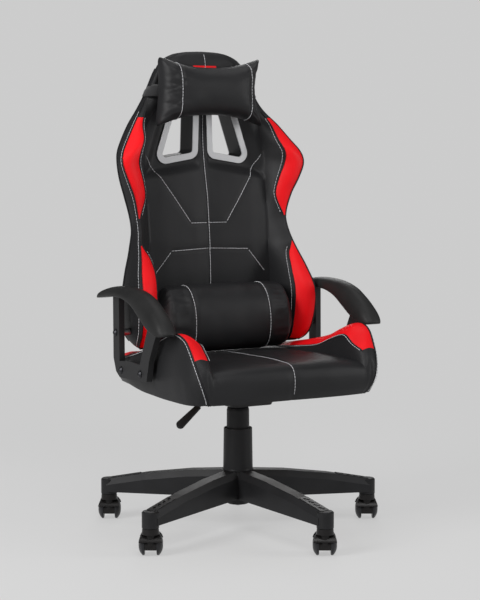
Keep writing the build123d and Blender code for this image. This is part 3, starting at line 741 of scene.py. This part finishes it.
def seat_columns(place):
    """Half a cross-section of the seat: (point, zone) from the centre to the lower edge."""
    c, e, i, o, s, b = (seat_curve(curve, place) for curve in (
        SEAT_CENTRE, SEAT_EDGE, SEAT_INNER, SEAT_PIPING, SEAT_SIDE, SEAT_LOWER))
    hub = Vector((205, max(c.y, HUB_FRONT), HUB_HEIGHT))
    columns = []
    for k in range(CUSHION_STEPS):
        t = k / CUSHION_STEPS
        point = c.lerp(e, t)
        crown = 1 - t ** 4
        point.y = e.y + (c.y - e.y) * crown
        point.z = e.z + (c.z - e.z) * crown
        columns.append([point, "cushion"])
    for start, end, steps, bulge, zone in (
        (e, i, 7, 0.05, "inner"), (i, o, 8, 0.16, "insert"), (o, s, 8, 0.04, "side"), (s, b, 7, 0.04, "side"),
    ):
        out = (start.lerp(end, 0.5) - hub).normalized()
        length = (end - start).length
        for k in range(steps):
            t = k / steps
            columns.append([start.lerp(end, t) + out * bulge * length * 4 * t * (1 - t), zone])
    columns.append([b, "side"])
    return columns


def settle_seat(point, zone, k, place):
    """Seam grooves and soft puckers of a seat point."""
    p = point.copy()
    front = smoothstep(9.5, 12, place)
    if zone == "cushion":
        groove = 2.2 * math.exp(-(abs(p.x) / 3.0) ** 2)
        p.z -= groove * (1 - front)
        p.y += groove * front
        ripple = noise.noise(Vector((p.x * 0.018, p.y * 0.018, p.z * 0.018)))
        p.z += 1.6 * ripple * (1 - front)
        p.y += 1.0 * ripple * front
        edge = smoothstep(0.80, 1.0, k / CUSHION_STEPS)
        p.z += 2.0 * edge * (1 - edge) * noise.noise(Vector((p.y * 0.06, 3.3, p.z * 0.06)))
    return p


def seat_mesh():
    count = (len(SEAT_CENTRE) - 1) * SEAT_STEP
    verts, faces, reds, grid = [], [], [], []
    for j in range(count + 1):
        place = j / SEAT_STEP
        half = seat_columns(place)
        points = [(settle_seat(p, zone, k, place), zone) for k, (p, zone) in enumerate(half)]
        ring = [(Vector((-p.x, p.y, p.z)), zone) for p, zone in points[:0:-1]] + points
        grid.append(ring)
        verts += [p * MM for p, zone in ring]
    width = len(grid[0])
    for j in range(count):
        place = (j + 0.5) / SEAT_STEP
        for k in range(width - 1):
            faces.append((j * width + k, j * width + k + 1, (j + 1) * width + k + 1, (j + 1) * width + k))
            left = k < width // 2
            zone = grid[j][k + 1][1] if left else grid[j][k][1]
            reds.append(1 if zone == "insert" and SEAT_RED_ROWS[0] < place < SEAT_RED_ROWS[1] else 0)
    close_seat_bottom(verts, faces, reds, count, width)
    return verts, faces, reds


def close_seat_bottom(verts, faces, reds, count, width):
    """Turns the cover under at its lower edge and closes it above the board."""
    loop = list(range(width))
    loop += [j * width + width - 1 for j in range(1, count + 1)]
    loop += [count * width + k for k in range(width - 2, -1, -1)]
    loop += [j * width for j in range(count - 1, 0, -1)]
    rings = [loop]
    for closing in (False, True):
        ring = []
        for v in loop:
            p = verts[v] / MM
            x = math.copysign(max(abs(p.x) - HEM, BOARD_HALF), p.x) if abs(p.x) > BOARD_HALF else p.x
            y = min(max(p.y, BOARD_FRONT), BOARD_REAR)
            z = ABOVE_BOARD if closing else min(p.z - 0.4, HEM_TOP)
            ring.append(len(verts))
            verts.append(Vector((x, y, z)) * MM)
        rings.append(ring)
    for a, b in zip(rings, rings[1:]):
        for i in range(len(loop)):
            m = (i + 1) % len(loop)
            faces.append((a[i], a[m], b[m], b[i]))
            reds.append(0)
    faces.append(tuple(rings[-1]))
    reds.append(0)


def seat_line(curve, low, high, side, out=0.6, shift=(0, 0, 0)):
    """Points along a lengthwise curve, moved outwards from the seat's middle."""
    points = []
    steps = int((high - low) * 4)
    for i in range(steps + 1):
        place = low + (high - low) * i / steps
        p = seat_curve(curve, place)
        hub = Vector((p.x * 0.82, max(p.y, HUB_FRONT), HUB_HEIGHT))
        p = p + (p - hub).normalized() * out + Vector(shift)
        points.append(Vector((side * p.x, p.y, p.z)) * MM)
    return points


def build_seat():
    obj = make_cover("seat_upholstery", *seat_mesh(), 60)
    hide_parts("seat_cushion", "seat_bolster_left", "seat_bolster_right")
    stitches = []
    for side, hand in ((1, "left"), (-1, "right")):
        piping(f"seat_piping_outer_{hand}", seat_line(SEAT_PIPING, 2, 15, side), 0.0019, 140)
        piping(f"seat_piping_inner_{hand}", seat_line(SEAT_INNER, 2.2, 10, side), 0.0016, 110)
        end = [seat_curve(SEAT_INNER, 10).lerp(seat_curve(SEAT_PIPING, 10), t / 4) for t in range(5)]
        end = [Vector((side * p.x, p.y - 1.0 - 3.6 * t * (4 - t) / 4, p.z - 3)) * MM for t, p in enumerate(end)]
        stitches.append(end)
        stitches.append(seat_line(SEAT_PIPING, 2.2, 14.8, side, 1.6, (2.6, 0, -3.0)))
        stitches.append(seat_line(SEAT_INNER, 3, 10, side, 1.0, (-4.0, 0, -1.0)))
    stitches.append([
        settle_seat(seat_curve(SEAT_CENTRE, p / 4), "cushion", 0, p / 4) * MM + Vector((0.0022, -0.0004, 0.0006))
        for p in range(9, 59)
    ])
    stitch_row(stitches, "seat_stitching", "seat")


# ---- arm pads

# Arm pad stations along its length: (y, z) of its top, (y, z) of its underside, half width.
PAD_ROWS = (
    (194, 561, 193, 558, 5), (188, 566, 187, 555, 12), (172, 572, 171, 556, 17), (150, 578, 149, 559, 20),
    (110, 586.5, 108, 564, 23), (60, 592.5, 58, 567, 25), (10, 593, 12, 565, 25.5), (-40, 589, -32, 553, 26),
    (-85, 578.5, -70, 532, 26.5), (-120, 561.5, -102, 514, 27), (-144, 546, -128, 503, 27),
    (-163, 530, -152, 497, 26), (-174, 517, -168, 496, 22), (-181, 507, -178, 498, 15), (-183, 503, -182, 500, 7),
)
PAD_X = 270
PAD_RING = 28


def build_arm_pads():
    """The soft pads on the armrests: a rounded top over a flat underside."""
    for side, hand in ((1, "left"), (-1, "right")):
        verts, faces = [], []
        keys = list(range(len(PAD_ROWS)))
        count = (len(PAD_ROWS) - 1) * 4
        for j in range(count + 1):
            ty, tz, by, bz, half = sample_rows(keys, PAD_ROWS, j / 4)
            bottom = Vector((0, by, bz))
            up = Vector((0, ty - by, tz - bz))
            for k in range(PAD_RING):
                turn = 2 * math.pi * k / PAD_RING
                c, s = math.cos(turn), math.sin(turn)
                across = math.copysign(abs(c) ** (0.8 if s > 0 else 0.4), c)
                rise = 0.16 + 0.84 * abs(s) ** 0.95 if s > 0 else 0.16 * (1 - abs(s) ** 0.4)
                p = bottom + Vector((across * half, 0, 0)) + up * rise
                verts.append(Vector((side * PAD_X + p.x, p.y, p.z)) * MM)
        for j in range(count):
            for k in range(PAD_RING):
                m = (k + 1) % PAD_RING
                faces.append((j * PAD_RING + k, j * PAD_RING + m, (j + 1) * PAD_RING + m, (j + 1) * PAD_RING + k))
        faces.append(tuple(range(PAD_RING))[::-1])
        faces.append(tuple(range(count * PAD_RING, (count + 1) * PAD_RING)))
        obj = make_object(f"arm_pad_soft_{hand}", verts, faces, "seat", [SOFT])
        smooth_shade(obj, 80)
        add_subdivision(obj)
        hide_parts(f"arm_pad_{hand}")


# ---- pillows

def pillow_grid(surface, wide, tall):
    """A closed mesh of a front and a rear surface(u, v, side), joined at their edge."""
    verts, faces, index = [], [], {}
    for side in (1, -1):
        for j in range(tall + 1):
            for i in range(wide + 1):
                rim = i in (0, wide) or j in (0, tall)
                if side == -1 and rim:
                    index[side, i, j] = index[1, i, j]
                    continue
                index[side, i, j] = len(verts)
                verts.append(surface(2 * i / wide - 1, 2 * j / tall - 1, side) * MM)
        for j in range(tall):
            for i in range(wide):
                face = (index[side, i, j], index[side, i + 1, j], index[side, i + 1, j + 1], index[side, i, j + 1])
                faces.append(face if side == 1 else face[::-1])
    return verts, faces


def ridged(place):
    """Noise with sharp creases, from 0 to about 1."""
    return 1 - min(abs(noise.noise(place)) * 2.6, 1.0)


# The head pillow in millimetres. u runs across it and v up it, both from -1 to 1.
PILLOW_Y, PILLOW_Z = 144, 1046
PILLOW_HALF_HEIGHT, PILLOW_HALF_WIDTH = 57.5, 150
PILLOW_SEAM, PILLOW_STITCHES = 92, 95


def head_pillow_width(v, hand):
    """Half the pillow's width at a height; its sides pull in between the corners."""
    pull = 33 if hand > 0 else 12
    return PILLOW_HALF_WIDTH - 4 * v - pull * (1 - abs(v) ** 2.2)


def head_pillow_height(u, up):
    """How far the pillow's edge is above or below its middle."""
    return PILLOW_HALF_HEIGHT + (34 if up > 0 else 39) * abs(u) ** 2.5


def head_pillow_surface(u, v, side):
    """Blunt raised corners, drawn-in edges, a plump front and a flatter rear."""
    corner = abs(u * v) ** 6
    x = head_pillow_width(v, u) * u * (1 - 0.09 * corner)
    z = PILLOW_Z + head_pillow_height(u, v) * v * (1 - 0.13 * corner)
    fat = max(1 - abs(u) ** 5.5, 0) ** 0.5 * max(1 - abs(v) ** (2.4 + 2.6 * u * u), 0) ** 0.55
    seam = math.exp(-((abs(x) - PILLOW_SEAM) / 3.0) ** 2)
    panel = smoothstep(88, 106, abs(x))
    along = v / (0.5 + 0.9 * abs(u))
    fold = ridged(Vector((along * 3.4 + 3 * u, u * 1.3, 2.5 * side)))
    crease = ridged(Vector((along * 7.5 - 2 * u, u * 2.1, 8.0 + side)))
    soft = noise.noise(Vector((x * 0.022, z * 0.03, 2.0 * side)))
    pucker = math.exp(-((abs(x) - PILLOW_SEAM) / 16) ** 2) * noise.noise(Vector((z * 0.11, 0.4 * u, 5.0)))
    ripple = fat ** 0.5 * (panel * (4.2 * fold ** 2 + 2.2 * crease ** 2 - 2.6) + 1.6 * soft + 1.5 * pucker)
    if side == 1:
        return Vector((x, PILLOW_Y - 50 * fat + 3.2 * seam * fat + ripple, z))
    return Vector((x, PILLOW_Y + 19 * fat - 0.4 * ripple, z))


def head_front(x, z):
    """A point on the head pillow's front near x and z."""
    v = (z - PILLOW_Z) / PILLOW_HALF_HEIGHT
    u = x / head_pillow_width(v, x)
    v = (z - PILLOW_Z) / head_pillow_height(u, v)
    v = max(min(v, 1), -1)
    u = x / head_pillow_width(v, x)
    return (head_pillow_surface(u, v, 1) + Vector((0, -0.6, 0))) * MM


def build_head_pillow():
    verts, faces = pillow_grid(head_pillow_surface, 84, 48)
    obj = make_object("head_pillow_cover", verts, faces, "head_pillow", [BLACK])
    smooth_shade(obj, 80)
    add_subdivision(obj)
    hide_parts("head_pillow")
    stitches = []
    for side in (1, -1):
        reach = head_pillow_height(PILLOW_STITCHES / 140, 1)
        stitches.append([head_front(side * PILLOW_STITCHES, PILLOW_Z + reach * k / 16) for k in range(-16, 17)])
    stitch_row(stitches, "head_pillow_stitching", "head_pillow")


LUMBAR_Y, LUMBAR_Z = 76, 506
LUMBAR_SEAM, LUMBAR_HALF_LENGTH = 98, 175
LUMBAR_DEPTH, LUMBAR_HEIGHT = 58, 80       # half sizes in the middle


def lumbar_point(x, turn):
    """A point on the lumbar roll: full in the middle, gathered at its ends."""
    ax = abs(x)
    end = smoothstep(146, 176, ax)
    fat = 1 - 0.05 * smoothstep(LUMBAR_SEAM, 150, ax) - 0.42 * end ** 1.8
    seam = math.exp(-((ax - LUMBAR_SEAM) / 3.5) ** 2)
    panel = smoothstep(LUMBAR_SEAM, 122, ax)
    gather = panel * ridged(Vector((math.cos(turn) * 4.2, math.sin(turn) * 4.2, x * 0.006)))
    wrinkle = noise.noise(Vector((x * 0.03, math.cos(turn) * 1.6, math.sin(turn) * 1.6)))
    radius = 1 - 0.035 * seam - 0.06 * gather ** 2 + (0.02 + 0.03 * panel) * wrinkle
    depth, height = LUMBAR_DEPTH * fat * radius, LUMBAR_HEIGHT * fat * radius
    c, s = math.cos(turn), math.sin(turn)
    y = LUMBAR_Y - depth * math.copysign(abs(c) ** 0.9, c) + 9 * s
    z = LUMBAR_Z + height * math.copysign(abs(s) ** 0.92, s)
    return Vector((x, y, z))


def build_lumbar():
    ring, rows = 72, 96
    quarter = math.pi / 2 * 0.985      # rows lie closer together towards the ends
    verts, faces = [], []
    for i in range(rows + 1):
        x = LUMBAR_HALF_LENGTH * math.sin(quarter * (2 * i / rows - 1)) / math.sin(quarter)
        for k in range(ring):
            verts.append(lumbar_point(x, 2 * math.pi * k / ring) * MM)
    for i in range(rows):
        for k in range(ring):
            m = (k + 1) % ring
            faces.append((i * ring + k, i * ring + m, (i + 1) * ring + m, (i + 1) * ring + k))
    for start, x in ((0, -171), (rows * ring, 171)):
        tip = len(verts)
        verts.append(Vector((x, LUMBAR_Y, LUMBAR_Z)) * MM)
        for k in range(ring):
            m = (k + 1) % ring
            faces.append((tip, start + k, start + m) if start else (tip, start + m, start + k))
    obj = make_object("lumbar_cushion_cover", verts, faces, "lumbar_cushion", [BLACK])
    smooth_shade(obj, 80)
    add_subdivision(obj)
    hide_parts("lumbar_cushion")
    stitches = []
    for side in (1, -1):
        ring_points = []
        for k in range(49):
            turn = -1.5 + 3.9 * k / 48
            p = lumbar_point(side * 100.5, turn)
            out = Vector((0, p.y - LUMBAR_Y, p.z - LUMBAR_Z)).normalized()
            ring_points.append((p + out * 0.8) * MM)
        stitches.append(ring_points)
    stitch_row(stitches, "lumbar_stitching", "lumbar_cushion")


# Half the strap's path round the head, as (x, y) from the front's centre to the rear's.
STRAP_HALF = (
    (0, 165.5), (70, 165.5), (112, 166), (130, 171), (145.6, 185.5), (146.4, 203), (116, 228.8), (60, 235.4),
    (0, 237.2),
)
STRAP_LOW, STRAP_MIDDLE, STRAP_HIGH = 1034, 1048, 1062
STRAP_ROWS = 6


def build_head_strap():
    """The elastic strap: a woven band round the head of the back, following its taper and its rear's slope."""
    loop = smooth_path([(x, y, 0) for x, y in STRAP_HALF], 90)
    loop += [Vector((-p.x, p.y, 0)) for p in loop[-2:0:-1]]
    count, width = len(loop), STRAP_ROWS + 1
    verts, faces = [], []
    for p in loop:
        for r in range(width):
            z = STRAP_LOW + (STRAP_HIGH - STRAP_LOW) * r / STRAP_ROWS
            below = STRAP_MIDDLE - z
            hug = smoothstep(95, 140, abs(p.x)) * below * (0.43 if below > 0 else 0.9)
            behind = smoothstep(205, 235, p.y) * below * 0.10
            verts.append(Vector((p.x + hug * math.copysign(1, p.x), p.y + behind, z)) * MM)
    for i in range(count):
        m = (i + 1) % count
        for r in range(STRAP_ROWS):
            faces.append((i * width + r, m * width + r, m * width + r + 1, i * width + r + 1))
    obj = make_object("head_strap_band", verts, faces, "head_pillow", [ELASTIC])
    smooth_shade(obj, 80)
    modifier = obj.modifiers.new("thickness", "SOLIDIFY")
    modifier.thickness = 0.0014
    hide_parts("head_strap")


# ---- studio

BACKDROP = (0.605, 0.605, 0.605)
# Painted pool of light: the floor glows brighter near the chair than further out.
FLOOR_NEAR_PAINTED_LIGHT = (0.64, 0.64, 0.64)
ROOM = (0.12, 0.12, 0.122)
FLOOR_RADIUS, FLOOR_SIDES = 60, 64


def build_studio():
    """A pale, mostly glowing floor with a painted pool of light round the chair that fades into an even backdrop,
    and a dimmer room for the light it gives.
    """
    material, tree, shader, coords = start_material("studio_floor")
    length = tree.nodes.new("ShaderNodeVectorMath")
    length.operation = "LENGTH"
    tree.links.new(coords, length.inputs[0])
    spread = tree.nodes.new("ShaderNodeMapRange")
    spread.interpolation_type = "SMOOTHSTEP"
    spread.inputs["From Min"].default_value = 0.3
    spread.inputs["From Max"].default_value = 2.6
    tree.links.new(length.outputs["Value"], spread.inputs["Value"])
    glow = tree.nodes.new("ShaderNodeEmission")
    # The glow fades from the painted pool of light near the chair to the backdrop's grey.
    tint = ramp(tree, spread.outputs["Result"], ((0.0, FLOOR_NEAR_PAINTED_LIGHT), (1.0, BACKDROP)))
    tree.links.new(tint, glow.inputs["Color"])
    shader.inputs["Base Color"].default_value = (0.72, 0.72, 0.72, 1)
    shader.inputs["Roughness"].default_value = 0.9
    shader.inputs["Specular IOR Level"].default_value = 0.1
    share = remap(tree, spread.outputs["Result"], 0.72, 1.0)
    mix = tree.nodes.new("ShaderNodeMixShader")
    tree.links.new(share, mix.inputs[0])
    tree.links.new(shader.outputs[0], mix.inputs[1])
    tree.links.new(glow.outputs[0], mix.inputs[2])
    tree.links.new(mix.outputs[0], tree.nodes["Material Output"].inputs["Surface"])
    turns = [2 * math.pi * k / FLOOR_SIDES for k in range(FLOOR_SIDES)]
    rim = [(FLOOR_RADIUS * math.cos(turn), FLOOR_RADIUS * math.sin(turn), 0) for turn in turns]
    mesh = bpy.data.meshes.new("studio_floor")
    mesh.from_pydata(rim, [], [tuple(range(FLOOR_SIDES))])
    mesh.materials.append(material)
    add_to_scene("studio_floor", mesh)
    world = bpy.data.worlds.new("studio")
    world.use_nodes = True
    tree = world.node_tree
    backdrop = tree.nodes["Background"]
    backdrop.inputs[0].default_value = (*BACKDROP, 1)
    room = tree.nodes.new("ShaderNodeBackground")
    room.inputs[0].default_value = (*ROOM, 1)
    rays = tree.nodes.new("ShaderNodeLightPath")
    mix = tree.nodes.new("ShaderNodeMixShader")
    tree.links.new(rays.outputs["Is Camera Ray"], mix.inputs[0])
    tree.links.new(room.outputs[0], mix.inputs[1])
    tree.links.new(backdrop.outputs[0], mix.inputs[2])
    tree.links.new(mix.outputs[0], tree.nodes["World Output"].inputs["Surface"])
    bpy.context.scene.world = world


LIT_POINT = (0, 0, 0.6)


def softbox(name, place, size, power):
    """A rectangular lamp of power watts at place, facing the chair."""
    data = bpy.data.lights.new(name, "AREA")
    data.shape = "RECTANGLE"
    data.size, data.size_y = size
    data.energy = power
    lamp = add_to_scene(name, data)
    lamp.location = place
    lamp.rotation_euler = (Vector(LIT_POINT) - Vector(place)).to_track_quat("-Z", "Y").to_euler()


def build_lights():
    softbox("key_left", (-3.0, -0.7, 1.9), (1.2, 2.2), 84)
    softbox("fill_right", (2.6, -2.2, 1.6), (0.9, 2.0), 38)
    softbox("front_top", (-0.7, -2.6, 3.0), (1.6, 1.0), 46)
    softbox("overhead", (0.2, 0.3, 3.1), (1.8, 1.8), 16)
    softbox("back_rim", (1.6, 2.6, 2.0), (1.2, 1.4), 18)


# The camera that fits the photograph, in the chair's frame.
CAMERA_PLACE = (-1.91258, -3.53281, 0.9425)
CAMERA_AIM = (0.47492, 0.87470, -0.09675)
CAMERA_LENS = 102.16


def build_camera():
    data = bpy.data.cameras.new("camera")
    data.lens = CAMERA_LENS
    data.sensor_width = 36
    data.clip_end = 200
    camera = add_to_scene("camera", data)
    camera.location = CAMERA_PLACE
    camera.rotation_euler = Vector(CAMERA_AIM).to_track_quat("-Z", "Y").to_euler()
    bpy.context.scene.camera = camera


build_camera()
dress_cad_nodes()
build_back()
build_seat()
build_arm_pads()
build_head_pillow()
build_lumbar()
build_head_strap()
build_studio()
build_lights()
bpy.context.scene.view_settings.view_transform = "Standard"
